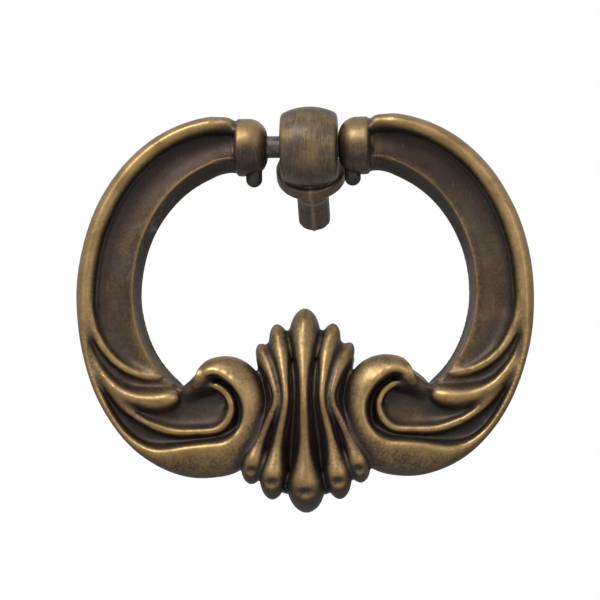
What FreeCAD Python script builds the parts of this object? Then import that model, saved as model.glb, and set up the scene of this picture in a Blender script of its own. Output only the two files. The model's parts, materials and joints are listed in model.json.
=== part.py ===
# Ring pull handle: a cast ring with a ribbed palmette and two scrolls, hung on a cast post.
# Millimetres. X runs along the pivot pin, Z is up, and -Y is the front that a person sees.
# The origin is the centre of the post's seat, the face that lies on the furniture.

import FreeCAD, Part
import math
import os

from FreeCAD import Vector

os.makedirs("parts", exist_ok=True)

# Ring outline, measured from the pivot axis
ring_width = 72.4
arm_top = 4.9            # top of the arms above the pivot axis
widest_drop = 24.0       # level of the widest place, below the axis
scroll_drop = 52.4       # underside of the scrolls, below the axis
outer_top_x = 12.6       # where the arms' outer edge becomes level
root_dip = 0.35          # how far the arms drop again beside the knuckles
outer_bottom_x = 16.5    # where the scrolls' underside becomes level

# Finger opening
opening_width = 52.0
opening_top = 3.8        # below the axis
opening_side_drop = 23.5
opening_bottom = 40.3    # lowest level that the opening's curve would reach
opening_top_x = 9.0
opening_bottom_x = 12.0
opening_start_angle = 10.0

# Section of the arms, by depth from the pivot axis
back_depth = 3.2         # flat back, behind the axis
bead_height = 3.7        # crest of the outer bead, in front of the axis
cove_height = 1.35       # bottom of the hollow face
crease_height = 2.45     # inner edge of the hollow face
parting_depth = 0.5      # where the opening is narrowest
bead_half_width = 1.6
thin_bead_half_width = 0.68
bevel_top = 2.0          # inner bevel beside the knuckles
bevel_side = 1.15
wall_inset = 0.4         # outer wall behind the bead
back_inset = 0.5
back_corner = 0.9
band_end_turn = 157.0    # where the leaf band ends under the scroll

# Scroll
eye_x = 14.4
scroll_across = 6.6      # half width of the scroll's centre line
scroll_up = 7.3          # half height of the scroll's centre line
scroll_half_width = 2.9
scroll_height = 5.1
scroll_crest_shift = 0.5    # share of the half width that the crest lies towards the eye
scroll_tip_turn = 312.0  # angle through which the scroll has turned at its tip
inner_ridge_across = 3.9
inner_ridge_up = 3.75
ridge_half_width = 0.58
lobe_half_width = 1.9

# Palmette: one middle rib and two pairs
palmette_top = 25.8      # below the pivot axis
palmette_bottom = 58.1
waist_drop = 40.3
rib_height = 6.5         # crest of the middle rib at the waist
rib_halves = (2.5, 1.05, 3.05)         # half widths of the middle rib at its tip, waist and bulb
side_rib_halves = (1.72, 0.9, 2.15)
outer_rib_halves = (1.5, 0.85, 1.9)
side_rib_spread = (4.6, 2.85, 5.3)    # distance from the middle at tip, waist and bulb
outer_rib_spread = (7.3, 4.35, 8.6)
side_rib_short = (2.5, 2.1)            # how far a pair stops short of the middle rib at tip and end
outer_rib_short = (5.6, 4.6)
core_height = 3.0        # floor of the valleys between the ribs, at the waist

# Knuckles, pivot pin and locking pins
knuckle_radius = 4.6
knuckle_outer_x = 10.7
knuckle_gap = 11.3       # between the two knuckles
knuckle_rounding = 3.0
groove_width = 0.8
groove_depth = 0.6
pin_diameter = 3.5
pin_hold = 3.6           # length of pin held in each knuckle
pin_fit = 0.02           # radial clearance of the pin in the ring
running_clearance = 0.05
locking_pin_diameter = 2.6
locking_pin_x = 7.85
locking_pin_reach = 6.4  # free end, below the pivot axis
locking_pin_fit = 0.02
locking_seat_depth = 0.35

# Post
head_width = 9.0
head_radius = 6.35
head_end_radius = 5.2
head_edge = 0.9
collar_diameter = 11.2
collar_thickness = 2.1
seat_distance = 6.8      # from the pivot axis to the seat
collar_edge = 0.35
spigot_diameter = 5.2
spigot_length = 10.0
spigot_chamfer = 0.35
spline_count = 10
spline_width = 0.34
spline_depth = 0.16
spline_length = 4.1      # splined end that grips the furniture's hole
spline_relief = 0.5      # width of the groove where the splines start
screw_hole_diameter = 3.3   # tapping size for M4
screw_hole_depth = 9.0
post_lean = 51.0         # angle between the post's axis and the hanging ring
side_play = 1.0          # how far the post sits off the ring's middle

front = Vector(0, -1, 0)
half_width = ring_width / 2
pin_radius = pin_diameter / 2
rough_back = back_depth + 0.15   # back before it is faced flat
eye_drop = scroll_drop - scroll_half_width - scroll_up


def plan_point(x, drop, height=0.0):
    return Vector(x, -height, -drop)


def quarter(centre, half_axes, angle):
    # a point on an ellipse, angle 0 at the side and 90 at the bottom
    turn = math.radians(angle)
    return centre[0] + half_axes[0] * math.cos(turn), centre[1] + half_axes[1] * math.sin(turn)


def outer_edge(turn):
    # outer outline of one arm, turn 0 at its level top, 90 at the side, 180 underneath
    if turn <= 90:
        x, drop = quarter((outer_top_x, widest_drop), (half_width - outer_top_x, widest_drop + arm_top),
                          turn - 90)
    else:
        x, drop = quarter((outer_bottom_x, widest_drop),
                          (half_width - outer_bottom_x, scroll_drop - widest_drop), turn - 90)
    return plan_point(x, drop)


def inner_edge(turn):
    # edge of the finger opening that faces outer_edge(turn)
    opening_half = opening_width / 2
    if turn <= 90:
        angle = (turn - 90) * (90 - opening_start_angle) / 90
        x, drop = quarter((opening_top_x, opening_side_drop),
                          (opening_half - opening_top_x, opening_side_drop - opening_top), angle)
    else:
        x, drop = quarter((opening_bottom_x, opening_side_drop),
                          (opening_half - opening_bottom_x, opening_bottom - opening_side_drop), turn - 90)
    return plan_point(x, drop)


def knot_slope(knots, i, column):
    # slope at a knot that never overshoots its neighbours
    if i in (0, len(knots) - 1):
        return 0
    left = (knots[i][column] - knots[i - 1][column]) / (knots[i][0] - knots[i - 1][0])
    right = (knots[i + 1][column] - knots[i][column]) / (knots[i + 1][0] - knots[i][0])
    if left * right <= 0:
        return 0
    return 2 * left * right / (left + right)


def between(knots, place):
    # smooth values at a place along a list of (place, value, ...) rows
    place = min(max(place, knots[0][0]), knots[-1][0])
    i = max(n for n in range(len(knots) - 1) if knots[n][0] <= place)
    span = knots[i + 1][0] - knots[i][0]
    t = (place - knots[i][0]) / span
    values = []
    for column in range(1, len(knots[0])):
        start = knots[i][column]
        end = knots[i + 1][column]
        rise = end - start
        slope_in = knot_slope(knots, i, column) * span
        slope_out = knot_slope(knots, i + 1, column) * span
        values.append(start + t * (slope_in + t * (3 * rise - 2 * slope_in - slope_out
                                                   + t * (slope_in + slope_out - 2 * rise))))
    return values


def round_end(place, start, end):
    # factor that closes a rib like an egg between two places
    share = min(max((place - start) / (end - start), 0), 1)
    return max(math.sqrt(1 - share * share), 0.1)


def oval(centre, across, half_across, half_deep, crest_shift):
    # a smooth oval in the plane of the across direction and Y, its seam at the back
    # crest_shift moves the crest across by that share of the half width
    turns = [math.radians(30 * i) for i in range(13)]
    points = []
    for turn in turns[:-1]:
        shift = crest_shift * max(-math.cos(turn), 0) ** 2
        sideways = half_across * (math.sin(turn) + shift)
        points.append(centre + across * sideways - front * (half_deep * math.cos(turn)))
    curve = Part.BSplineCurve()
    curve.interpolate(Points=points, PeriodicFlag=True, Parameters=turns)
    return Part.Wire(curve.toShape())


def tube(stations):
    # a loft through ovals at (centre, half_across, half_deep, crest_shift), square to the path from the front
    wires = []
    for i, (centre, half_across, half_deep, crest_shift) in enumerate(stations):
        before = stations[max(i - 1, 0)][0]
        after = stations[min(i + 1, len(stations) - 1)][0]
        run = after - before
        run.y = 0
        run.normalize()
        wires.append(oval(centre, run.cross(front), half_across, half_deep, crest_shift))
    return Part.makeLoft(wires, True, False)


def crest_station(point, height, half_across, half_deep, crest_shift=0.0):
    # a station whose oval has its crest at the stated height in front of the axis
    return Vector(point.x, -height + half_deep, point.z), half_across, half_deep, crest_shift


def bead_profile(turn):
    # half width, crest height, half depth and crest shift of the outer bead down to the scroll's underside
    return between([
        (0, bead_half_width * 0.94, bead_height, 2.0, 0),
        (90, bead_half_width, bead_height, 2.0, 0),
        (112, thin_bead_half_width, bead_height * 0.9, 1.6, 0),
        (138, thin_bead_half_width, bead_height * 0.9, 1.6, 0),
        (156, scroll_half_width * 0.5, bead_height * 1.1, 2.5, scroll_crest_shift * 0.5),
        (168, scroll_half_width * 0.84, scroll_height * 0.95, 3.2, scroll_crest_shift),
        (180, scroll_half_width, scroll_height, 3.4, scroll_crest_shift),
    ], turn)


def bead_point(turn):
    edge = outer_edge(turn)
    inward = inner_edge(turn) - edge
    inward.normalize()
    return edge + inward * bead_profile(turn)[0]


def band_section(edge, inward, width, bead_half, bevel, crease_at):
    # section of an arm without its bead: flat back, outer wall, hollow face and inner bevel
    def at(across, height):
        return edge + inward * across + front * height

    wall_foot = at(wall_inset + back_inset, back_corner - rough_back)
    back_outer = at(wall_inset + back_inset + back_corner, -rough_back)
    back_inner = at(width - back_inset - back_corner, -rough_back)
    lip_foot = at(width - back_inset, back_corner - rough_back)
    lip = at(width, -parting_depth)
    crease = at(width - bevel, crease_at)
    cove = at((bead_half + width - bevel) / 2, cove_height)
    under_bead = at(bead_half, cove_height + (crease_at - cove_height) * 0.7)
    wall_top = at(min(wall_inset, bead_half * 0.6), bead_height * 0.46)
    bulge = back_corner * (1 - math.sqrt(0.5))
    outer_round = at(wall_inset + back_inset + bulge, bulge - rough_back)
    inner_round = at(width - back_inset - bulge, bulge - rough_back)
    edges = [
        Part.Arc(wall_foot, outer_round, back_outer).toShape(),
        Part.makeLine(back_outer, back_inner),
        Part.Arc(back_inner, inner_round, lip_foot).toShape(),
        Part.makeLine(lip_foot, lip),
        Part.makeLine(lip, crease),
        Part.Arc(crease, cove, under_bead).toShape(),
        Part.makeLine(under_bead, wall_top),
        Part.makeLine(wall_top, wall_foot),
    ]
    return Part.Wire(edges)


def arm_band():
    # hollow-faced band from the knuckle round to the scroll
    lips = [(0, bevel_top, crease_height), (90, bevel_side, crease_height), (120, bevel_side, crease_height),
            (band_end_turn, bevel_side * 0.7, cove_height + 0.05)]
    root = outer_edge(0) - Vector(0, 0, root_dip)
    root.x = arm_root_x
    root_width = (inner_edge(0) - root).dot(Vector(0, 0, -1))
    wires = [band_section(root, Vector(0, 0, -1), root_width, bead_profile(0)[0], bevel_top, crease_height)]
    steps = 12
    for i in range(steps + 1):
        turn = band_end_turn * i / steps
        edge = outer_edge(turn)
        inward = inner_edge(turn) - edge
        width = inward.Length
        inward.normalize()
        bevel, crease_at = between(lips, turn)
        wires.append(band_section(edge, inward, width, bead_profile(turn)[0], bevel, crease_at))
    return Part.makeLoft(wires, True, False)


def scroll_point(angle, across, up, centre_x, centre_drop):
    # a point on the scroll, angle 0 underneath, 90 beside the palmette, 180 on top
    turn = math.radians(angle)
    return plan_point(centre_x - across * math.sin(turn), centre_drop + up * math.cos(turn))


def bead_and_scroll():
    # one tapering bead from the knuckle down the outer edge, swelling into the scroll
    root = bead_point(0) - Vector(0, 0, root_dip)
    root.x = arm_root_x
    half, height, deep, shift = bead_profile(0)
    stations = [crest_station(root, height, half, deep, shift)]
    for turn in range(0, 169, 12):
        half, height, deep, shift = bead_profile(turn)
        stations.append(crest_station(bead_point(turn), height, half, deep, shift))
    curl = scroll_tip_turn - 90
    swell = [
        (0, scroll_half_width, scroll_height, 3.4, scroll_crest_shift, 1.0),
        (curl * 0.40, scroll_half_width * 0.73, scroll_height * 1.04, 3.2, scroll_crest_shift, 1.0),
        (curl * 0.62, scroll_half_width * 0.78, scroll_height, 3.1, scroll_crest_shift, 1.02),
        (curl * 0.84, scroll_half_width * 0.5, scroll_height * 0.86, 2.3, scroll_crest_shift * 0.5, 0.93),
        (curl, scroll_half_width * 0.14, scroll_height * 0.6, 1.1, 0, 0.68),
    ]
    for i in range(13):
        angle = curl * i / 12
        half, height, deep, shift, size = between(swell, angle)
        point = scroll_point(angle, scroll_across * size, scroll_up * size, eye_x, eye_drop)
        stations.append(crest_station(point, height, half, deep, shift))
    return tube(stations)


def band_point(turn, share):
    # a point part of the way from the outer edge to the opening
    return outer_edge(turn) + (inner_edge(turn) - outer_edge(turn)) * share


def leaf_ridge(start, end, share_start, share_end, power, profile, steps):
    # stations of a ridge that leaves the bead and crosses the band
    # profile rows give place, half width, crest height and half depth
    stations = []
    for i in range(steps + 1):
        place = i / steps
        share = share_start + (share_end - share_start) * place ** power
        half, height, deep = between(profile, place)
        stations.append(crest_station(band_point(start + (end - start) * place, share), height, half, deep))
    return stations


def upper_ridge():
    return tube(leaf_ridge(90, 136, 0.2, 0.9, 1.8, [
        (0, ridge_half_width * 1.8, bead_height * 0.93, 1.5),
        (0.4, ridge_half_width * 1.3, bead_height * 0.88, 1.4),
        (1, ridge_half_width * 0.8, bead_height * 0.7, 1.0),
    ], 7))


def lobe_ridge():
    # ridge that swells into a round lobe at the opening's edge
    return tube(leaf_ridge(106, 150, 0.14, 0.86, 1.8, [
        (0, ridge_half_width, bead_height * 0.82, 1.3),
        (0.4, ridge_half_width * 1.6, bead_height * 0.95, 1.6),
        (0.84, lobe_half_width, bead_height * 1.12, 2.4),
        (0.94, lobe_half_width * 0.85, bead_height * 1.05, 2.2),
        (1, lobe_half_width * 0.35, bead_height * 0.85, 1.2),
    ], 11))


def inner_ridge():
    # thin ridge that follows the scroll inside and ends above its eye
    stations = leaf_ridge(114, 160, 0.12, 0.48, 1.0, [
        (0, ridge_half_width, bead_height * 0.84, 1.3),
        (1, ridge_half_width, bead_height * 0.78, 1.2),
    ], 6)
    for angle in range(-10, 196, 30):
        point = scroll_point(angle, inner_ridge_across, inner_ridge_up, eye_x + 1.1, eye_drop - 0.7)
        stations.append(crest_station(point, bead_height * 0.78, ridge_half_width, 1.2))
    return tube(stations)


def knuckle():
    # bullet-shaped knuckle, turned about the pivot axis
    inner_x = knuckle_gap / 2
    middle = knuckle_rounding * (1 - math.sqrt(0.5))
    flat = Vector(inner_x, 0, knuckle_radius - knuckle_rounding)
    bend = Vector(inner_x + middle, 0, knuckle_radius - middle)
    shoulder = Vector(inner_x + knuckle_rounding, 0, knuckle_radius)
    corner = Vector(knuckle_outer_x, 0, knuckle_radius)
    wire = Part.Wire([
        Part.makeLine(Vector(inner_x, 0, 0), flat),
        Part.Arc(flat, bend, shoulder).toShape(),
        Part.makeLine(shoulder, corner),
        Part.makeLine(corner, Vector(knuckle_outer_x, 0, 0)),
        Part.makeLine(Vector(knuckle_outer_x, 0, 0), Vector(inner_x, 0, 0)),
    ])
    return Part.Face(wire).revolve(Vector(0, 0, 0), Vector(1, 0, 0), 360)


def knuckle_groove():
    # V groove turned between the knuckle and its arm
    root = knuckle_radius - groove_depth
    rise = arm_top + back_depth
    lean = groove_width / 2 / groove_depth
    wire = Part.makePolygon([
        Vector(knuckle_outer_x, 0, root),
        Vector(knuckle_outer_x - lean * groove_depth * 2, 0, knuckle_radius + groove_depth),
        Vector(knuckle_outer_x - lean * groove_depth * 2, 0, rise),
        Vector(knuckle_outer_x + groove_width, 0, rise),
        Vector(knuckle_outer_x + groove_width / 2, 0, knuckle_radius),
        Vector(knuckle_outer_x, 0, root),
    ])
    return Part.Face(wire).revolve(Vector(0, 0, 0), Vector(1, 0, 0), 360)


def palmette_rib(sign, spread, short, halves, height):
    # waisted rib from its tip to a round bulb; place -1 at the tip, 0 at the waist, 1 at the end
    tip_x, waist_x, bulb_x = (sign * distance for distance in spread)
    top = palmette_top + short[0]
    bottom = palmette_bottom - short[1]
    lobe_half, waist_half, bulb_half = halves
    profile = [
        (-1, lobe_half, height * 0.42),
        (-0.68, lobe_half, height * 0.66),
        (-0.3, waist_half * 1.12, height * 0.92),
        (0, waist_half, height),
        (0.45, waist_half * 1.25, height * 0.86),
        (0.76, bulb_half, height * 0.95),
        (1, bulb_half, height * 0.8),
    ]
    places = [-1, -0.985, -0.94, -0.85, -0.68, -0.48, -0.24, 0, 0.24, 0.45, 0.6, 0.74, 0.86, 0.95, 0.99, 1]
    stations = []
    for place in places:
        half, crest = between(profile, place)
        if place < 0:
            drop = waist_drop + place * (waist_drop - top)
            x = waist_x + (tip_x - waist_x) * (-place) ** 1.6
            closing = round_end(place, -0.68, -1)
        else:
            drop = waist_drop + place * (bottom - waist_drop)
            x = waist_x + (bulb_x - waist_x) * math.sin(place * math.pi / 2) ** 1.3
            closing = round_end(place, 0.74, 1)
        deep = max(half + 0.45, (crest - core_height * 0.8) / 2)
        stations.append((plan_point(x, drop, crest - deep), half * closing, deep * closing, 0))
    return tube(stations)


def palmette_core():
    # solid behind the ribs: its front outline cut to the side profile
    top = palmette_top + 3.2
    bottom = palmette_bottom - 2.5
    shoulder_x = outer_rib_spread[0] + 0.4
    shoulder = palmette_top + 7.9
    waist_x = eye_x - scroll_across - 0.7
    hip_x = outer_rib_spread[2] + 0.5
    hip = palmette_bottom - 7.3
    rise = rib_height + 2

    def corner(x, drop):
        return plan_point(x, drop, rise)

    outline = Part.Wire([
        Part.Arc(corner(-shoulder_x, shoulder), corner(0, top), corner(shoulder_x, shoulder)).toShape(),
        Part.Arc(corner(shoulder_x, shoulder), corner(waist_x, waist_drop), corner(hip_x, hip)).toShape(),
        Part.Arc(corner(hip_x, hip), corner(0, bottom), corner(-hip_x, hip)).toShape(),
        Part.Arc(corner(-hip_x, hip), corner(-waist_x, waist_drop), corner(-shoulder_x, shoulder)).toShape(),
    ])
    block = Part.Face(outline).extrude(Vector(0, rise + rough_back, 0))
    rows = [(top - 1, 0.3), (shoulder, 0.72), (waist_drop, 1.0), (hip - 4, 0.86), (bottom + 1, 0.45)]

    def side_point(drop, height):
        return plan_point(-2 * hip_x, drop, height)

    curve = Part.BSplineCurve()
    curve.interpolate([side_point(drop, core_height * share) for drop, share in rows])
    back_top = side_point(rows[0][0], -back_depth - 1)
    back_bottom = side_point(rows[-1][0], -back_depth - 1)
    side = Part.Wire([
        curve.toShape(),
        Part.makeLine(curve.EndPoint, back_bottom),
        Part.makeLine(back_bottom, back_top),
        Part.makeLine(back_top, curve.StartPoint),
    ])
    return block.common(Part.Face(side).extrude(Vector(4 * hip_x, 0, 0)))


def ground_plate():
    # floor of the scrolls and of the valleys beside the palmette, inside the outline of the beads and ribs
    edge = [(0, waist_drop - 6), (eye_x - scroll_across - 1, eye_drop - scroll_up * 0.92)]
    for angle in (140, 170, 195):
        point = scroll_point(angle, scroll_across * 0.97, scroll_up * 0.95, eye_x, eye_drop)
        edge.append((point.x, -point.z))
    for turn, share in ((148, 0.88), (145, 0.5), (149, 0.12), (163, 0.11)):
        point = band_point(turn, share)
        edge.append((point.x, -point.z))
    for angle in (8, 45):
        point = scroll_point(angle, scroll_across, scroll_up, eye_x, eye_drop)
        edge.append((point.x, -point.z))
    edge.append((eye_x - scroll_across, eye_drop + scroll_up))
    edge.append((0, palmette_bottom - 4))
    mirrored = [(-x, drop) for x, drop in reversed(edge[1:-1])]
    points = [plan_point(x, drop, cove_height) for x, drop in edge + mirrored]
    curve = Part.BSplineCurve()
    curve.interpolate(points, PeriodicFlag=True)
    return Part.Face(Part.Wire(curve.toShape())).extrude(Vector(0, cove_height + rough_back + 0.3, 0))


def locking_pin_hole(x):
    top = locking_seat_depth - pin_radius
    return Part.makeCylinder(locking_pin_diameter / 2 + locking_pin_fit, locking_pin_reach + 2 + top,
                             Vector(x, 0, top), Vector(0, 0, -1))


def make_ring():
    side = [arm_band(), bead_and_scroll(), upper_ridge(), lobe_ridge(), inner_ridge(), knuckle()]
    half = side[0].multiFuse(side[1:])
    half = half.cut(knuckle_groove())
    other = half.mirror(Vector(0, 0, 0), Vector(1, 0, 0))
    ribs = [palmette_rib(1, (0, 0, 0), (0, 0), rib_halves, rib_height)]
    for sign in (-1, 1):
        ribs.append(palmette_rib(sign, side_rib_spread, side_rib_short, side_rib_halves, rib_height * 0.96))
        ribs.append(palmette_rib(sign, outer_rib_spread, outer_rib_short, outer_rib_halves,
                                 rib_height * 0.88))
    ring = half.multiFuse([other, ground_plate(), palmette_core()] + ribs)
    facing = Part.makeBox(2 * ring_width, back_depth, 2 * ring_width,
                          Vector(-ring_width, back_depth, -1.5 * ring_width))
    ring = ring.cut(facing)
    bore_start = knuckle_gap / 2 - 1
    for sign in (-1, 1):
        bore = Part.makeCylinder(pin_radius + pin_fit, pin_hold + 1, Vector(sign * bore_start, 0, 0),
                                 Vector(sign, 0, 0))
        ring = ring.cut(bore)
        ring = ring.cut(locking_pin_hole(sign * locking_pin_x))
    return ring


def make_pivot_pin():
    length = knuckle_gap + 2 * pin_hold - 2 * pin_fit
    pin = Part.makeCylinder(pin_radius, length, Vector(-length / 2, 0, 0), Vector(1, 0, 0))
    for sign in (-1, 1):
        pin = pin.cut(locking_pin_hole(sign * locking_pin_x))
    return pin


def make_locking_pin(x):
    # short dowel with a round outer end
    radius = locking_pin_diameter / 2
    top = locking_seat_depth - pin_radius - locking_pin_fit
    straight = locking_pin_reach + top - radius
    shank = Part.makeCylinder(radius, straight, Vector(x, 0, top), Vector(0, 0, -1))
    end = Part.makeSphere(radius, Vector(x, 0, top - straight))
    return shank.fuse(end).removeSplitter()


def make_post():
    half = head_width / 2
    crown = Part.Arc(Vector(-half, 0, head_end_radius), Vector(0, 0, head_radius),
                     Vector(half, 0, head_end_radius)).toShape()
    outline = Part.Wire([
        crown,
        Part.makeLine(Vector(half, 0, head_end_radius), Vector(half, 0, 0)),
        Part.makeLine(Vector(half, 0, 0), Vector(-half, 0, 0)),
        Part.makeLine(Vector(-half, 0, 0), Vector(-half, 0, head_end_radius)),
    ])
    head = Part.Face(outline).revolve(Vector(0, 0, 0), Vector(1, 0, 0), 360)
    rims = []
    for edge in head.Edges:
        if edge.Length > 6 * head_end_radius and abs(edge.CenterOfMass.x) > half - 0.1:
            rims.append(edge)
    head = head.makeFillet(head_edge, rims)
    collar = Part.makeCylinder(collar_diameter / 2, collar_thickness, Vector(0, 0, -seat_distance))
    collar = collar.makeFillet(collar_edge, [edge for edge in collar.Edges if len(edge.Vertexes) == 1])
    end_z = -seat_distance - spigot_length
    spigot = Part.makeCylinder(spigot_diameter / 2, spigot_length + 1, Vector(0, 0, end_z))
    tips = [edge for edge in spigot.Edges if len(edge.Vertexes) == 1 and edge.CenterOfMass.z < end_z + 0.01]
    spigot = spigot.makeChamfer(spigot_chamfer, tips)
    post = head.multiFuse([collar, spigot])
    spline_z = end_z + spline_length
    relief = Part.makeCylinder(spigot_diameter, spline_relief, Vector(0, 0, spline_z))
    relief = relief.cut(Part.makeCylinder(spigot_diameter / 2 - spline_depth, spline_relief,
                                          Vector(0, 0, spline_z)))
    post = post.cut(relief)
    for i in range(spline_count):
        cut = Part.makeBox(spline_width, 2 * spline_depth, spline_length + spline_relief,
                           Vector(-spline_width / 2, -spigot_diameter / 2 - spline_depth,
                                  end_z - spline_relief / 2))
        cut.rotate(Vector(0, 0, 0), Vector(0, 0, 1), 360 * (i + 0.5) / spline_count)
        post = post.cut(cut)
    pin_bore = Part.makeCylinder(pin_radius + running_clearance, 2 * head_width, Vector(-head_width, 0, 0),
                                 Vector(1, 0, 0))
    post = post.cut(pin_bore)
    return post.cut(Part.makeCylinder(screw_hole_diameter / 2, screw_hole_depth, Vector(0, 0, end_z)))


def place_post(shape):
    shape.rotate(Vector(0, 0, 0), Vector(1, 0, 0), post_lean)
    shape.translate(pivot)
    return shape


def place_ring(shape):
    shape.translate(pivot - Vector(side_play, 0, 0))
    return shape


lean = math.radians(post_lean)
pivot = Vector(0, -math.sin(lean), math.cos(lean)) * seat_distance
arm_root_x = knuckle_outer_x - groove_width / 3

place_ring(make_ring()).exportStep("parts/ring.step")
place_ring(make_pivot_pin()).exportStep("parts/pivot_pin.step")
place_ring(make_locking_pin(-locking_pin_x)).exportStep("parts/left_locking_pin.step")
place_ring(make_locking_pin(locking_pin_x)).exportStep("parts/right_locking_pin.step")
place_post(make_post()).exportStep("parts/post.step")
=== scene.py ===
import bpy
import bmesh
import json
import math
import numpy as np
from mathutils import Matrix, Vector


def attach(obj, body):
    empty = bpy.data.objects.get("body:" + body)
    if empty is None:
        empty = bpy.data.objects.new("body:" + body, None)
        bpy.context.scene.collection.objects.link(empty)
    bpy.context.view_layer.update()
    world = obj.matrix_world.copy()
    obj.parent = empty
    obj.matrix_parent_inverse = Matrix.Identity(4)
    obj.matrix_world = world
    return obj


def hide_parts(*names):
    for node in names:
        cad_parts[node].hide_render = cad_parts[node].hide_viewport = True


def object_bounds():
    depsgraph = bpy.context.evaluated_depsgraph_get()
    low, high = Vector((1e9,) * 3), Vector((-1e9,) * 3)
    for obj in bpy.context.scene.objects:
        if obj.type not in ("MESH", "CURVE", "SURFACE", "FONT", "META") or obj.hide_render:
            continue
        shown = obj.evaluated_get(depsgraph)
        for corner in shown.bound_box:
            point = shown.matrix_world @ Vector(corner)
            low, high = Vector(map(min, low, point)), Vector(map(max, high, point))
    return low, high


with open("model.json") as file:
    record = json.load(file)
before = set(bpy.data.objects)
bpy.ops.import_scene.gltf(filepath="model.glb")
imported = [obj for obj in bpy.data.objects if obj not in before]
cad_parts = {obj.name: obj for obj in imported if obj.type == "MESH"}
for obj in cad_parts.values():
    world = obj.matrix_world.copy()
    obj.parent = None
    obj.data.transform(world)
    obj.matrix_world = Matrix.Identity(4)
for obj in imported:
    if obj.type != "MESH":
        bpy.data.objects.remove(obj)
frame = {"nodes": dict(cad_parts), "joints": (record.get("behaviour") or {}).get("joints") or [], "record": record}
cadBox = [list(corner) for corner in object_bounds()]
scene = bpy.context.scene
mm = 0.001
pivot = Vector(frame["joints"][0]["pos_m"])      # pin axis, where it crosses the post
spigotWay = Vector(next(m["axis"] for m in frame["record"]["mounts"] if m["name"] == "spigot"))
print("loaded", sorted(frame["nodes"]))


class Wire:
    # one output of a node tree, so that shader maths reads as plain sums
    def __init__(self, tree, socket=None):
        self.tree = tree
        self.socket = socket

    def node(self, kind, settings, sockets):
        made = self.tree.nodes.new(kind)
        for name, value in settings.items():
            setattr(made, name, value)
        for name, value in sockets.items():
            if isinstance(value, Wire):
                self.tree.links.new(value.socket, made.inputs[name])
            else:
                made.inputs[name].default_value = value
        return made

    def get(self, kind, settings, sockets, output=0):
        return Wire(self.tree, self.node(kind, settings, sockets).outputs[output])

    def sums(self, operation, first, second):
        return self.get("ShaderNodeMath", {"operation": operation}, {0: first, 1: second})

    def __add__(self, other): return self.sums("ADD", self, other)
    def __radd__(self, other): return self.sums("ADD", other, self)
    def __sub__(self, other): return self.sums("SUBTRACT", self, other)
    def __rsub__(self, other): return self.sums("SUBTRACT", other, self)
    def __mul__(self, other): return self.sums("MULTIPLY", self, other)
    def __rmul__(self, other): return self.sums("MULTIPLY", other, self)

    def ramp(self, low, high):      # 0 below low, 1 above high, eased between
        return self.get("ShaderNodeMapRange", {"interpolation_type": "SMOOTHSTEP"},
                        {"Value": self, "From Min": low, "From Max": high})

    def blend(self, first, second):      # first colour where this mask is 0
        return self.get("ShaderNodeMix", {"data_type": "RGBA"}, {0: self, 6: first, 7: second}, 2)


def newFinish(name):
    finish = bpy.data.materials.new(name)
    finish.use_nodes = True
    tree = finish.node_tree
    return finish, Wire(tree), tree.nodes["Principled BSDF"]


def feed(wire, shader, **sockets):
    for name, value in sockets.items():
        target = shader.inputs[name.replace("_", " ")]
        if isinstance(value, Wire):
            wire.tree.links.new(value.socket, target)
        else:
            target.default_value = value


def noise(wire, place, size, detail):      # size is in metres across one patch
    return wire.get("ShaderNodeTexNoise", {}, {"Vector": place, "Scale": 1.0 / size, "Detail": detail,
                                               "Roughness": 0.55})


def stretched(wire, place, turn, stretch):
    return wire.get("ShaderNodeMapping", {}, {"Vector": place, "Rotation": turn, "Scale": stretch})


def baked(piece):
    # the piece's mesh with its modifiers in it, shaded smooth
    mesh = bpy.data.meshes.new_from_object(piece.evaluated_get(bpy.context.evaluated_depsgraph_get()))
    piece.modifiers.clear()
    piece.data = mesh
    mesh.polygons.foreach_set("use_smooth", [True] * len(mesh.polygons))
    mesh.update()


def softCopy(nodeName, pieceName, look):
    # a copy of a solid with its seams closed and every crease rounded as a casting's are
    mesh = frame["nodes"][nodeName].data.copy()
    mesh.materials.clear()
    piece = bpy.data.objects.new(pieceName, mesh)
    scene.collection.objects.link(piece)
    shape = bmesh.new()
    shape.from_mesh(mesh)
    bmesh.ops.remove_doubles(shape, verts=shape.verts, dist=0.002 * mm)
    shape.to_mesh(mesh)
    shape.free()
    remesh = piece.modifiers.new("soften", "REMESH")
    remesh.mode = "VOXEL"
    remesh.voxel_size = look["voxel"]
    smooth = piece.modifiers.new("round", "SMOOTH")
    smooth.factor = 0.5
    smooth.iterations = look["rounding"]
    baked(piece)
    return piece


def trianglesOf(mesh):
    return sum(len(face.vertices) - 2 for face in mesh.polygons)


def thin(piece, limit):
    # fewer triangles, with the readings carried over
    count = trianglesOf(piece.data)
    piece.modifiers.new("fewer", "DECIMATE").ratio = limit / count
    baked(piece)
    print(piece.name, count, "to", trianglesOf(piece.data), "triangles")


def pointsOf(mesh):
    points = np.zeros(len(mesh.vertices) * 3)
    mesh.vertices.foreach_get("co", points)
    return points.reshape(-1, 3)


def normalsOf(mesh):
    normals = np.zeros(len(mesh.vertices) * 3)
    mesh.vertex_normals.foreach_get("vector", normals)
    return normals.reshape(-1, 3)


def writePoints(mesh, points):
    mesh.vertices.foreach_set("co", points.ravel())
    mesh.update()


def neighbourMean(mesh):
    ends = np.zeros(len(mesh.edges) * 2, np.int64)
    mesh.edges.foreach_get("vertices", ends)
    ends = ends.reshape(-1, 2)
    here = np.concatenate((ends[:, 0], ends[:, 1]))
    there = np.concatenate((ends[:, 1], ends[:, 0]))
    count = np.bincount(here, minlength=len(mesh.vertices))

    def mean(values):
        columns = [np.bincount(here, values[there, k], len(count)) / count for k in range(values.shape[1])]
        return np.stack(columns, axis=1)
    return mean


def eased(values, low, high):      # 0 below low, 1 above high
    share = np.clip((values - low) / (high - low), 0, 1)
    return share * share * (3 - 2 * share)


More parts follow.
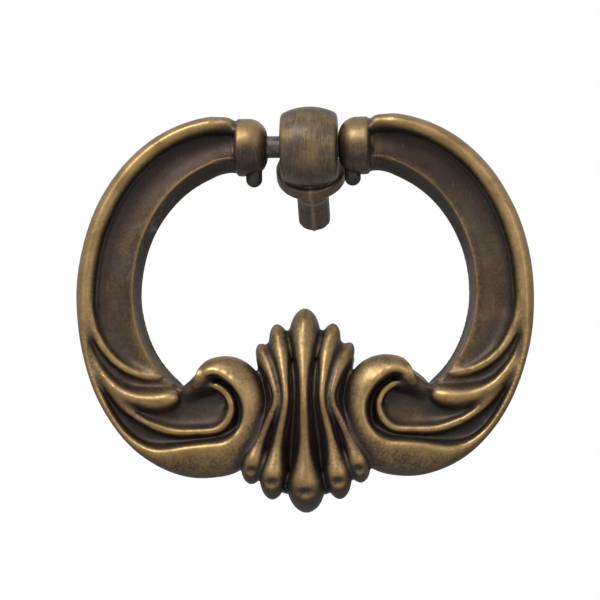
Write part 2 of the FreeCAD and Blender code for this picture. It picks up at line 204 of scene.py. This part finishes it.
def faded(values, full, gone):      # 1 below full, 0 above gone
    return eased(-values, -gone, -full)


def calmed(values, mean, passes):
    for step in range(passes):
        values = mean(values[:, None])[:, 0]
    return values


def relaxed(points, mean, weight, steps):
    # each point moves towards the middle of its neighbours, by its weight
    for step in range(steps):
        points = points + (mean(points) - points) * weight[:, None]
    return points


def standing(points, normals, mean, steps):
    # how far each point stands out of (+) or sinks into (-) its surroundings, in millimetres
    smoothed = points
    for step in range(steps):
        smoothed = mean(smoothed)
    return ((points - smoothed) * normals).sum(1) / mm


def waves(points, size, seed):
    # a slow unevenness between -1 and 1, the same at each run
    turns = np.random.default_rng(seed).uniform(-1, 1, (6, 3))
    turns /= np.linalg.norm(turns, axis=1)[:, None]
    phases = points @ turns.T * (2 * math.pi / size) + np.arange(6) * 1.7
    return np.sin(phases).mean(axis=1)


def facing(normals, up, front):      # how much each point looks up and to the front
    return normals[:, 2] * up - normals[:, 1] * front


def addReading(mesh, name, values):
    layer = mesh.attributes.new(name, "FLOAT", "POINT")
    layer.data.foreach_set("value", values.astype(np.float32))


def readRelief(mesh, look):
    points, normals, mean = pointsOf(mesh), normalsOf(mesh), neighbourMean(mesh)
    for name in ("fine", "broad"):
        relief = calmed(standing(points, normals, mean, look[name + "Steps"]), mean, 3)
        addReading(mesh, name + "Relief", relief)
        print(name, "relief of", len(points), "points", np.percentile(relief, [2, 50, 98]).round(3))
    addReading(mesh, "upward", normals[:, 2])


brassLook = {
    "mottle": 7 * mm, "blotch": 2.4 * mm, "grain": 0.45 * mm, "stainSize": 3.1 * mm, "fleckSize": 1.3 * mm,
    "scratches": [((0.3, 0.5, 0.9), 0.5 * mm, (0.66, 0.74)),      # turn, size, ends of the mask
                  ((0.2, -0.7, 0.1), 0.6 * mm, (0.68, 0.75))],
    "scratchLay": (1, 1, 0.1), "scuffPatch": 5 * mm,
    "brushSize": 0.13 * mm, "brushLay": (1, 0.06, 0.06),
    "bump": 0.3, "bumpHeight": 0.07 * mm, "metal": 0.72, "rough": 0.48,
}


def agedBrass(name, look):
    finish, wire, shader = newFinish(name)
    place = wire.get("ShaderNodeTexCoord", {}, {}, "Object")

    def reading(layer):
        return wire.get("ShaderNodeAttribute", {"attribute_name": layer}, {}, "Fac")
    fine = reading("fineRelief")
    rubbingAndLight = reading("rubbingAndLight")
    mottle = noise(wire, place, brassLook["mottle"], 4.0) - 0.5
    blotch = noise(wire, place, brassLook["blotch"], 4.0) - 0.5
    grain = noise(wire, place, brassLook["grain"], 3.0) - 0.5
    raised = reading("broadRelief") + fine * 0.7 + mottle * 0.6 + blotch * 0.6 + grain * 0.75
    # worn and rubbed metal follows the rubbing reading: partly wear on the high spots, partly painted light on
    # what faces front and up
    wornAndLitMask = (raised + rubbingAndLight * 0.5).ramp(*look["wornFrom"]) * (0.3 + rubbingAndLight * 0.7)
    rubbedAndLitMask = raised.ramp(*look["rubbedFrom"]) * rubbingAndLight

    # from the dark coat to bare metal
    # painted shade: where the surface faces down, the coat turns to the under colour
    colour = (reading("upward") + blotch * 0.8).ramp(-0.9, 0.1).blend(look["under"], look["dark"])
    colour = ((blotch + mottle).ramp(0.0, 0.3) * 0.6).blend(colour, look["ruddy"])
    colour = wornAndLitMask.blend(colour, look["worn"])
    colour = rubbedAndLitMask.blend(colour, look["rubbed"])

    # brown stains on the metal; the creases darkened, partly dark patina and partly painted shade, and painted
    # shade in the hollow by the knuckles
    stain = noise(wire, place, brassLook["stainSize"], 5.0) + blotch * 0.6 + grain * 0.3
    stained = rubbedAndLitMask * look["stains"] + rubbingAndLight * look["patches"]
    colour = (stain.ramp(0.42, 0.72) * stained).blend(colour, look["stain"])
    # creases painted darker: partly dark patina, partly painted shade
    crease = (0 - fine + grain * 0.05).ramp(0.04, 0.16)
    colour = (crease * 0.3).blend(colour, look["crease"])
    # painted shade in the hollow by the knuckles
    colour = (reading("knuckleShade") * (0.75 + blotch)).blend(colour, look["crease"])

    # brush lines, scuffs, the mould's lines and verdigris
    lines = noise(wire, stretched(wire, place, (0, 0, 0), brassLook["brushLay"]), brassLook["brushSize"], 4.0)
    brush = (lines + blotch * 0.7 + mottle * 0.5).ramp(0.40, 0.80) * reading("brushed")
    colour = (brush * look["brush"]).blend(colour, look["brushed"])
    scratches = []
    for turn, size, span in brassLook["scratches"]:
        lay = stretched(wire, place, turn, brassLook["scratchLay"])
        scratches.append(noise(wire, lay, size, 2.0).ramp(*span))
    scuffPatch = noise(wire, place, brassLook["scuffPatch"], 2.0).ramp(0.45, 0.62)
    scuff = wire.sums("MAXIMUM", *scratches) * scuffPatch * look["scuffs"]
    colour = scuff.blend(colour, look["scuffed"])
    colour = (reading("seam") * (0.35 + blotch)).blend(colour, look["scuffed"])
    flecks = noise(wire, place, brassLook["fleckSize"], 3.0) + mottle * 0.5
    green = reading("green") * flecks.ramp(0.52, 0.85)
    colour = (green * (1 - rubbedAndLitMask)).blend(colour, look["verdigris"])

    height = grain + blotch * 1.5 - scuff * 0.4 + lines * reading("brushed") * 1.5
    bump = wire.get("ShaderNodeBump", {}, {"Strength": brassLook["bump"], "Distance": brassLook["bumpHeight"],
                                           "Height": height})
    feed(wire, shader, Base_Color=colour, Normal=bump,
         Metallic=(brassLook["metal"] + rubbedAndLitMask * 0.28) * (1 - green * 0.8),
         Roughness=brassLook["rough"] - rubbedAndLitMask * 0.08 + grain * 0.2 + mottle * 0.1)
    return finish


# Lengths without mm are in millimetres: across from the ring's middle, drop below the pin axis and
# height in front of it. Pairs say where a mask starts and is full, or where it is full and has gone.
ringLook = {
    "voxel": 0.2 * mm, "rounding": 4, "triangles": 190000,
    "fineSteps": 13, "broadSteps": 140,      # smoothing behind the two readings of relief
    "sideways": -1.0 * mm,      # the ring's middle, from the post's
    "beltDrop": 24, "outlineCorner": 16.5, "outlineReach": (19.7, 28.4),      # the lower outer edge
    "openingDrop": 23.5,
    "openingLower": (12, 14, 16.8), "openingUpper": (9, 17, 19.7),      # middle across, half width, half height

    "uneven": 0.07 * mm, "unevenSize": 9.0, "unevenSeed": 3, "unevenDrop": (5, 9),
    "ridgeGain": 0.34 * mm, "ridgeDrop": (24, 29), "ridgeAcross": (9.5, 11), "ridgeStands": (0.03, 0.12),
    "filletSinks": (0.02, 0.09), "filletDrop": (6, 9), "filletStrength": 0.6, "filletSteps": 14,
    "armFilletSinks": (0.0, 0.06), "armFilletDrop": (26, 34), "armFilletAcross": (12.5, 15),
    "armFilletOpening": 1.1, "armFilletSteps": 70,

    "beadWidth": 2.6, "beadCrest": 1.4, "beadFall": 0.5, "beadDrop": (25, 31), "beadAcross": (13.5, 16),
    "beadStart": (0.9, 1.4), "beadFoot": (3.6, 4.2),      # in from the outer edge
    "beadSectors": 90, "beadMost": 3, "beadFacing": 0.1,      # the most it rises; only what doesn't face back
    "beadSettle": (2, (0.02, 0.2), 0.7, 12),      # passes over the mask, its ends, strength, steps

    "leafDrop": (25, 30), "leafAcross": (10.5, 12), "leafOutline": (0.86, 0.93), "leafOpening": (1.03, 1.1),
    "leafHeight": (0.8, 1.6), "fluteStands": (0.0, 0.06), "fluteStrength": 0.8, "fluteSteps": 110,
    "bluntOutline": (0.9, 0.97), "bluntStrength": 0.7, "bluntSteps": 16,

    "tips": [((16.5, 36.6), (18.4, 38.0), 4.5, 3.5, 1.8),      # start, end, height at each, reach to the side
             ((15.1, 37.8), (17.2, 38.0), 3.6, 3.8, 1.1)],
    "tipFall": 1.2, "tipMost": 4, "tipHeight": (0.4, 1.6), "tipFade": (1.2, 2),      # shares of the reach
    "tipSettle": (3, (0.02, 0.3), 0.8, 40),

    "neckStart": (10.6, 11.6), "neckEnd": (13.4, 14.6), "neckFromPin": (3.0, 3.7), "neckDrop": (6, 8),
    "neckStrength": 0.8, "neckSteps": 50,

    "ribs": [(0, 0, 0, 25.8, 58.1, 6.5),      # across at tip, waist and bulb, drop at top and bottom, height
             (4.6, 2.85, 5.3, 28.3, 56.0, 6.24),
             (7.3, 4.35, 8.6, 31.4, 53.5, 5.72)],
    "waistDrop": 40.3, "tipCurve": 1.6, "bulbCurve": 1.3,
    "flankSlope": 1.7, "flankSunk": 0.1, "crestRound": 0.5, "ribMost": 4,
    "ribPlaces": (-1, -0.68, -0.3, 0, 0.45, 0.76, 1), "ribShares": (0.42, 0.66, 0.92, 1, 0.86, 0.95, 0.8),
    "ribEnds": (0.04, 0.22), "ribHeight": (0.8, 2.2), "ribAcross": (8.2, 9.6),
    "ribSettle": (2, (0.02, 0.2), 0.7, 10),
    "dents": [(0, 54.9, 1.2),      # under each rib's knee: across, drop, reach
              (5.2, 53.3, 0.95),
              (8.4, 51.4, 0.75)],
    "dentTall": 0.6, "dentDepth": 0.5 * mm, "dentFacing": 0.2,

    "rubAndLightWay": (0.45, 1), "rubAndLightFacing": (-0.1, 1.05),      # shares of up and front, ends of the mask
    "knuckleAcross": (11, 13.5), "knuckleDrop": (6, 9), "knuckleBrushed": 0.6,
    "knuckleWay": (0.9, 0.35), "knuckleFacing": (0.1, 0.85),
    "fanAcross": (9.2, 10.2), "fanDrop": (24, 26), "fanWay": (0.35, 1), "fanFacing": (0.5, 1.05),
    "armDrop": (27, 33), "armAcross": (12, 15), "wingDrop": (36, 42), "wingAcross": (18.5, 20.5),
    "lipOpening": (1.10, 1.18), "lipDulled": 0.6,
    "dullEnds": [(18.4, 38.2, 2.9, 0.8), (15.6, 38.0, 1.9, 0.6)],      # across, drop, reach, share
    "dullFade": (0.3, 1),      # shares of the reach
    "greenDrop": 14, "greenReach": 5, "greenOpening": (1.08, 1.22), "greenElsewhere": 0.08,
    "knuckleShadeDrop": (3, 15), "knuckleShadeAcross": (10.5, 13), "knuckleShadeOpening": (1.32, 1.42), "knuckleShadeFront": (0.2, 0.7),

    "rubbed": (0.335, 0.222, 0.095, 1), "worn": (0.092, 0.060, 0.031, 1), "dark": (0.027, 0.0195, 0.0155, 1),
    "under": (0.025, 0.023, 0.021, 1), "ruddy": (0.050, 0.029, 0.019, 1), "crease": (0.017, 0.009, 0.006, 1),
    "scuffed": (0.13, 0.108, 0.083, 1), "verdigris": (0.075, 0.098, 0.076, 1),
    "brushed": (0.30, 0.23, 0.14, 1), "stain": (0.115, 0.066, 0.030, 1),
    "wornFrom": (-0.1, 0.85), "rubbedFrom": (0.0, 0.8),
    "scuffs": 0.3, "brush": 0.35, "stains": 0.6, "patches": 0.0,
}


def ringZones(points, look):
    across = np.abs(points[:, 0] - look["sideways"]) / mm
    drop = (pivot.z - points[:, 2]) / mm
    lower = drop > look["beltDrop"]
    wide, tall = look["outlineReach"]
    outline = np.hypot(np.maximum(across - look["outlineCorner"], 0) / wide, (drop - look["beltDrop"]) / tall)
    halves = zip(look["openingLower"], look["openingUpper"])
    middle, halfWide, halfTall = [np.where(lower, *pair) for pair in halves]
    opening = np.hypot((across - middle) / halfWide, (drop - look["openingDrop"]) / halfTall)
    return across, drop, outline, opening      # outline and opening are 1 on those edges


def frontHeight(points):
    return (pivot.y - points[:, 1]) / mm


def broughtForward(points, mean, rise, settle):
    # points come forward by their rise, and what moved is smoothed
    passes, span, strength, steps = settle
    points[:, 1] -= rise * mm
    return relaxed(points, mean, calmed(eased(rise, *span), mean, passes) * strength, steps)


def beadRise(points, normals, across, drop, look):
    # the outer edge's reach and the bead's height are found in narrow sectors, from top to bottom
    fromMiddle = np.hypot(across, drop - look["beltDrop"])
    turn = np.degrees(np.arctan2(drop - look["beltDrop"], across))
    count = look["beadSectors"]
    step = 180 / count
    sector = np.clip((turn + 90) / step, 0, count - 1).astype(int)
    sectorTurn = np.arange(count) * step - 90 + step / 2
    outer, top = np.zeros(count), np.zeros(count)
    np.maximum.at(outer, sector, fromMiddle)
    inset = np.interp(turn, sectorTurn, outer) - fromMiddle
    stand = frontHeight(points)
    np.maximum.at(top, sector, np.where(inset < look["beadWidth"], stand, 0))
    bead = np.interp(turn, sectorTurn, top) - look["beadFall"] * np.maximum(inset - look["beadCrest"], 0) ** 2
    rise = np.clip(bead - stand, 0, look["beadMost"]) * faded(drop, *look["beadDrop"])
    rise = rise * eased(across, *look["beadAcross"]) * (normals[:, 1] < look["beadFacing"])
    return rise * (eased(inset, *look["beadStart"]) * faded(inset, *look["beadFoot"]))


def alongLine(across, drop, start, end):
    # distance from a line on the front, and the share of the way along it
    goAcross, goDrop = end[0] - start[0], end[1] - start[1]
    share = ((across - start[0]) * goAcross + (drop - start[1]) * goDrop) / (goAcross ** 2 + goDrop ** 2)
    share = np.clip(share, 0, 1)
    return np.hypot(across - start[0] - share * goAcross, drop - start[1] - share * goDrop), share


def ribFlanks(across, drop, look):
    # height of the ribs' sloping flanks, and how far inside a rib's length each point is
    height = np.full(len(across), -99.0)
    within = np.zeros(len(across))
    waistDrop = look["waistDrop"]
    for tip, waist, bulb, top, bottom, tall in look["ribs"]:
        place = (drop - waistDrop) / np.where(drop < waistDrop, waistDrop - top, bottom - waistDrop)
        share = np.clip(place, -1, 1)
        upper = waist + (tip - waist) * np.clip(-share, 0, 1) ** look["tipCurve"]
        lower = waist + (bulb - waist) * np.sin(np.clip(share, 0, 1) * math.pi / 2) ** look["bulbCurve"]
        crest = tall * np.interp(share, look["ribPlaces"], look["ribShares"])
        fromCrest = across - np.where(share < 0, upper, lower)
        fromCrest = np.sqrt(fromCrest ** 2 + look["crestRound"] ** 2) - look["crestRound"]
        flank = crest - look["flankSlope"] * fromCrest - look["flankSunk"]
        within = np.where(flank > height, 1 - np.abs(place), within)
        height = np.maximum(height, flank)
    return height, within


def shapeRing(mesh, zones, look):
    across, drop, outline, opening = zones
    points, normals, mean = pointsOf(mesh), normalsOf(mesh), neighbourMean(mesh)
    stands = standing(points, normals, mean, look["fineSteps"])

    # fuller ridges, and a casting's unevenness away from the bores by the pin
    carved = eased(drop, *look["ridgeDrop"]) * eased(across, *look["ridgeAcross"])
    carved = carved * faded(outline, *look["leafOutline"])
    lift = eased(stands, *look["ridgeStands"]) * carved * look["ridgeGain"]
    uneven = waves(points / mm, look["unevenSize"], look["unevenSeed"]) * look["uneven"]
    lift += uneven * eased(drop, *look["unevenDrop"])
    points = points + normals * calmed(lift, mean, 1)[:, None]

    # creases are filled a little, and on the arms a broad round bead runs softly into the hollow
    fillet = eased(-stands, *look["filletSinks"]) * eased(drop, *look["filletDrop"]) * look["filletStrength"]
    points = relaxed(points, mean, calmed(fillet, mean, 2), look["filletSteps"])
    armFillet = eased(-stands, *look["armFilletSinks"]) * faded(drop, *look["armFilletDrop"])
    armFillet = armFillet * eased(across, *look["armFilletAcross"]) * (opening > look["armFilletOpening"])
    points = relaxed(points, mean, calmed(armFillet, mean, 2), look["armFilletSteps"])
    points = broughtForward(points, mean, beadRise(points, normals, across, drop, look), look["beadSettle"])

    # floors between the leaf ridges are hollowed round, and the ridges worn blunt
    high = eased(frontHeight(points), *look["leafHeight"])
    leaf = eased(drop, *look["leafDrop"]) * eased(across, *look["leafAcross"])
    flute = leaf * faded(outline, *look["leafOutline"]) * eased(opening, *look["leafOpening"])
    flute *= (1 - eased(stands, *look["fluteStands"])) * high * look["fluteStrength"]
    points = relaxed(points, mean, calmed(flute, mean, 2), look["fluteSteps"])
    blunt = leaf * faded(outline, *look["bluntOutline"]) * eased(opening, *look["leafOpening"])
    points = relaxed(points, mean, blunt * high * look["bluntStrength"], look["bluntSteps"])

    # each scroll's tip runs on to the notch, and to the start of the inner ridge
    for start, end, tallStart, tallEnd, reach in look["tips"]:
        stand = frontHeight(points)
        span, share = alongLine(across, drop, start, end)
        crest = tallStart + (tallEnd - tallStart) * share - (span / reach) ** 2 * look["tipFall"]
        rise = np.clip(crest - stand, 0, look["tipMost"]) * eased(stand, *look["tipHeight"])
        rise = rise * faded(span, *np.multiply(look["tipFade"], reach))
        points = broughtForward(points, mean, rise, look["tipSettle"])

    # the arms run softly into their knuckles
    fromPin = np.hypot(points[:, 1] - pivot.y, points[:, 2] - pivot.z) / mm
    neck = eased(across, *look["neckStart"]) * faded(across, *look["neckEnd"])
    neck = neck * eased(fromPin, *look["neckFromPin"]) * faded(drop, *look["neckDrop"]) * look["neckStrength"]
    points = relaxed(points, mean, neck, look["neckSteps"])

    # sloping flanks on the palmette's ribs, then a dent under each rib's knee
    stand = frontHeight(points)
    flanks, within = ribFlanks(across, drop, look)
    rise = np.clip(flanks - stand, 0, look["ribMost"]) * eased(within, *look["ribEnds"])
    rise = rise * eased(stand, *look["ribHeight"]) * faded(across, *look["ribAcross"])
    points = broughtForward(points, mean, rise, look["ribSettle"])
    sunk = np.zeros(len(points))
    for dentAcross, dentDrop, reach in look["dents"]:
        span = ((across - dentAcross) / reach) ** 2 + ((drop - dentDrop) / look["dentTall"]) ** 2
        sunk = np.maximum(sunk, np.exp(-span))
    points[:, 1] += sunk * ((normals[:, 1] < look["dentFacing"]) * look["dentDepth"])
    writePoints(mesh, points)
    print("ring shaped")


def readRing(mesh, zones, look):
    across, drop, _, opening = zones
    points, normals = pointsOf(mesh), normalsOf(mesh)
    onKnuckle = faded(across, *look["knuckleAcross"]) * faded(drop, *look["knuckleDrop"])
    onFan = faded(across, *look["fanAcross"]) * eased(drop, *look["fanDrop"])
    onArm = faded(drop, *look["armDrop"]) * eased(across, *look["armAcross"])
    onWing = faded(drop, *look["wingDrop"]) * eased(across, *look["wingAcross"])
    dulled = 1 - look["lipDulled"] * (np.maximum(onArm, onWing) * faded(opening, *look["lipOpening"]))

    # hands rub what faces front and up: the knuckles' tops and the ribs' crests, but not the opening's edge. The
    # same reading also holds painted light: what faces front and up is painted lighter, flanks and undersides
    # darker
    rubbingAndLight = eased(facing(normals, *look["rubAndLightWay"]), *look["rubAndLightFacing"])
    rubbingAndLight += (eased(facing(normals, *look["knuckleWay"]), *look["knuckleFacing"]) - rubbingAndLight) * onKnuckle
    rubbingAndLight += (eased(facing(normals, *look["fanWay"]), *look["fanFacing"]) - rubbingAndLight) * onFan
    for endAcross, endDrop, reach, share in look["dullEnds"]:      # the scrolls' ends by the notch
        span = np.hypot(across - endAcross, drop - endDrop) / reach
        rubbingAndLight *= 1 - share * faded(span, *look["dullFade"])
    addReading(mesh, "rubbingAndLight", rubbingAndLight * dulled)
    addReading(mesh, "brushed", onKnuckle * look["knuckleBrushed"])

    # painted shade darkens the hollow towards the knuckles, and verdigris gathers on one arm
    knuckleShade = faded(drop, *look["knuckleShadeDrop"]) * eased(across, *look["knuckleShadeAcross"])
    knuckleShade = knuckleShade * faded(opening, *look["knuckleShadeOpening"]) * eased(-normals[:, 1], *look["knuckleShadeFront"])
    addReading(mesh, "knuckleShade", knuckleShade * dulled)
    green = np.exp(-((drop - look["greenDrop"]) / look["greenReach"]) ** 2)
    green = (points[:, 0] < 0) * green * faded(opening, *look["greenOpening"])
    addReading(mesh, "green", np.clip(green + look["greenElsewhere"], 0, 1))
    readRelief(mesh, look)


ring = softCopy("ring", "castRing", ringLook)
zonesOfRing = ringZones(pointsOf(ring.data), ringLook)
shapeRing(ring.data, zonesOfRing, ringLook)
readRing(ring.data, zonesOfRing, ringLook)
thin(ring, ringLook["triangles"])
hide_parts("ring")
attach(ring, "ring")
ring.data.materials.append(agedBrass("ringBrass", ringLook))


postLook = {
    "voxel": 0.14 * mm, "rounding": 2, "fineSteps": 5, "broadSteps": 60,
    "seamWidth": 0.22, "seamHeight": 0.16, "seamFrom": -2.3, "crossSeam": 3.9,      # in millimetres
    "barrel": 2.0,      # what lies further from the axis than this is outside, not in the hole
    "holeRadius": 1.65, "holeDepth": 9.0, "holeMargin": 0.2, "spigotEnd": 10.0,
    "threadPitch": 0.7, "threadDepth": 0.3, "threadClear": 0.5, "threadFacing": 0.6,
    "headFrom": (2.2, 2.8), "headEnds": (3.1, 4.2), "faceRubbedAndLit": 0.55, "endsRubbed": 0.45,
    "collarFrom": (3.0, 3.6), "collarFront": (-0.2, 0.6), "collarRubbedAndLit": 0.65,
    "rubAndLightWay": (0.35, 1), "rubAndLightFacing": (0.0, 1.0),

    "rubbed": (0.30, 0.21, 0.105, 1), "worn": (0.125, 0.086, 0.048, 1), "dark": (0.055, 0.045, 0.035, 1),
    "under": (0.060, 0.052, 0.043, 1), "ruddy": (0.055, 0.036, 0.024, 1), "crease": (0.015, 0.010, 0.007, 1),
    "scuffed": (0.30, 0.26, 0.20, 1), "verdigris": (0.085, 0.14, 0.12, 1), "brushed": (0.265, 0.19, 0.105, 1),
    "stain": (0.20, 0.122, 0.046, 1), "wornFrom": (-0.2, 0.9), "rubbedFrom": (0.1, 1.0),
    "scuffs": 0.3, "brush": 0.5, "stains": 0.3, "patches": 0.9,
}


def dressPost(mesh, look):
    points, normals, way = pointsOf(mesh), normalsOf(mesh), np.array(spigotWay)
    along = points @ way / mm      # 0 at the seat, growing towards the spigot's end
    axisOff = points / mm - along[:, None] * way
    fromAxis = np.linalg.norm(axisOff, axis=1)

    # the mould's raised line, and a thread cut in the screw hole
    outside = fromAxis > look["barrel"]
    seam = np.exp(-(points[:, 0] / mm / look["seamWidth"]) ** 2) * outside * (along > look["seamFrom"])
    crossSeam = np.exp(-((along - look["crossSeam"]) / look["seamWidth"]) ** 2) * outside
    around = np.arctan2(axisOff[:, 0], axisOff @ np.array(spigotWay.cross(Vector((1, 0, 0)))))
    threadStart = look["spigotEnd"] - look["holeDepth"] + look["threadClear"]
    inHole = (fromAxis < look["holeRadius"] + look["holeMargin"]) * (along > threadStart)
    inHole = inHole * (np.abs(normals @ way) < look["threadFacing"])      # the hole's wall, not its floor
    turnShare = (along / look["threadPitch"] + around / (2 * math.pi)) % 1.0
    thread = np.abs(turnShare * 2 - 1) * inHole * look["threadDepth"]
    lift = (seam * look["seamHeight"] - thread) * mm
    writePoints(mesh, np.clip(points + normals * lift[:, None], *cadBox))      # nothing grows past the solids
    print("post shaped,", trianglesOf(mesh), "triangles")

    readRelief(mesh, look)
    normals = normalsOf(mesh)
    onHead = eased(-along, *look["headFrom"])
    headEnds = eased(np.abs(points[:, 0]) / mm, *look["headEnds"]) * onHead
    # what faces front and up is worn brighter and also painted lighter, as the light falls; the collar's front is
    # painted lighter too
    onCollar = (1 - onHead) * eased(fromAxis, *look["collarFrom"])
    onCollar = onCollar * eased(-normals[:, 1], *look["collarFront"])
    rubbingAndLight = eased(facing(normals, *look["rubAndLightWay"]), *look["rubAndLightFacing"])
    rubbingAndLight = rubbingAndLight * (look["faceRubbedAndLit"] + look["endsRubbed"] * headEnds)
    addReading(mesh, "rubbingAndLight", np.maximum(rubbingAndLight, look["collarRubbedAndLit"] * onCollar))
    addReading(mesh, "brushed", onHead)
    addReading(mesh, "seam", np.maximum(seam, crossSeam))      # the mould's lines are rubbed lighter


post = softCopy("post", "castPost", postLook)
dressPost(post.data, postLook)
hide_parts("post")
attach(post, "post")
post.data.materials.append(agedBrass("postBrass", postLook))


steelLook = {"ringSize": 0.12 * mm, "stainSize": 1.8 * mm, "bump": 0.2, "bumpHeight": 0.02 * mm}


def dullSteel(name, look):
    finish, wire, shader = newFinish(name)
    place = wire.get("ShaderNodeTexCoord", {}, {}, "Object")
    rings = noise(wire, stretched(wire, place, (0, 0, 0), look["lay"]), steelLook["ringSize"], 2.0)
    stain = noise(wire, place, steelLook["stainSize"], 3.0) + rings * 0.2
    colour = stain.ramp(0.35, 0.8).blend(look["bare"], look["stained"])
    bump = wire.get("ShaderNodeBump", {}, {"Strength": steelLook["bump"], "Distance": steelLook["bumpHeight"],
                                           "Height": rings})
    feed(wire, shader, Base_Color=colour, Normal=bump, Metallic=look["metal"],
         Roughness=look["rough"] + rings * 0.15)
    return finish


def dress(nodeName, finish):
    mesh = frame["nodes"][nodeName].data
    mesh.materials.clear()
    mesh.materials.append(finish)


pinLook = {
    "lay": (1, 0.05, 0.05), "bare": (0.15, 0.135, 0.12, 1), "stained": (0.055, 0.046, 0.039, 1),
    "metal": 0.9, "rough": 0.36,
}
lockLook = {
    "lay": (0.4, 0.4, 0.4), "bare": (0.060, 0.052, 0.044, 1), "stained": (0.026, 0.022, 0.019, 1),
    "metal": 0.8, "rough": 0.48,
}
dress("pivot_pin", dullSteel("turnedPin", pinLook))
lockFinish = dullSteel("darkLockingPin", lockLook)
dress("left_locking_pin", lockFinish)
dress("right_locking_pin", lockFinish)
print("finishes done")


stageLook = {
    "white": 1.0, "ambient": 0.3,      # the world as it is seen, and as it lights the part
    "floorSize": 4.0, "floorDrop": 0.16, "floor": (0.93, 0.93, 0.93, 1), "floorRough": 0.9,
    "aim": (0, -0.005, -0.02),
    "lights": [("keyLight", 0.30, 4.4, (-0.26, -0.56, 0.50)),      # name, size, power, place
               ("fillLight", 0.45, 0.8, (0.45, -0.55, 0.10))],
}


def whiteWorld(look):
    world = bpy.data.worlds.new("studio")
    scene.world = world
    world.use_nodes = True
    wire = Wire(world.node_tree)
    path = wire.node("ShaderNodeLightPath", {}, {})
    camera, glossy, through = [Wire(wire.tree, path.outputs[f"Is {kind} Ray"])
                               for kind in ("Camera", "Glossy", "Transmission")]
    seen = wire.sums("MAXIMUM", wire.sums("MAXIMUM", camera, glossy), through)
    strength = look["ambient"] + seen * (look["white"] - look["ambient"])
    feed(wire, world.node_tree.nodes["Background"], Color=(1, 1, 1, 1), Strength=strength)


def layFloor(look):
    half = look["floorSize"] / 2
    mesh = bpy.data.meshes.new("floor")
    corners = [(-half, -half, 0), (half, -half, 0), (half, half, 0), (-half, half, 0)]
    mesh.from_pydata(corners, [], [(0, 1, 2, 3)])
    floor = bpy.data.objects.new("floor", mesh)
    scene.collection.objects.link(floor)
    floor.location = (0, 0, -look["floorDrop"])
    finish, wire, shader = newFinish("floor")
    feed(wire, shader, Base_Color=look["floor"], Roughness=look["floorRough"])
    mesh.materials.append(finish)


def softLight(name, size, power, place, aim):
    lamp = bpy.data.lights.new(name, "AREA")
    lamp.shape = "DISK"
    lamp.size = size
    lamp.energy = power
    body = bpy.data.objects.new(name, lamp)
    scene.collection.objects.link(body)
    body.location = place
    body.rotation_euler = (Vector(place) - Vector(aim)).to_track_quat("Z", "Y").to_euler()


whiteWorld(stageLook)
layFloor(stageLook)
for light in stageLook["lights"]:
    softLight(*light, stageLook["aim"])


cameraLook = {
    "azimuth": 3.5, "elevation": -4.0, "roll": -0.66, "distance": 0.45,
    "lens": 170.6, "sensor": 36, "near": 0.01,
    "target": (-0.00172, -0.006, -0.02023),
}


def placeCamera(look):
    lens = bpy.data.cameras.new("photoCamera")
    lens.lens = look["lens"]
    lens.sensor_width = look["sensor"]
    lens.sensor_fit = "HORIZONTAL"
    lens.clip_start = look["near"]
    body = bpy.data.objects.new("photoCamera", lens)
    scene.collection.objects.link(body)
    turn = math.radians(look["azimuth"])
    rise = math.radians(look["elevation"])
    way = Vector((math.sin(turn) * math.cos(rise), -math.cos(turn) * math.cos(rise), math.sin(rise)))
    body.location = Vector(look["target"]) + way * look["distance"]
    body.rotation_mode = "QUATERNION"
    body.rotation_quaternion = (way.to_track_quat("Z", "Y").to_matrix() @
                                Matrix.Rotation(math.radians(look["roll"]), 3, "Z")).to_quaternion()
    scene.camera = body


placeCamera(cameraLook)
scene.view_settings.view_transform = "Standard"
print("stage done")
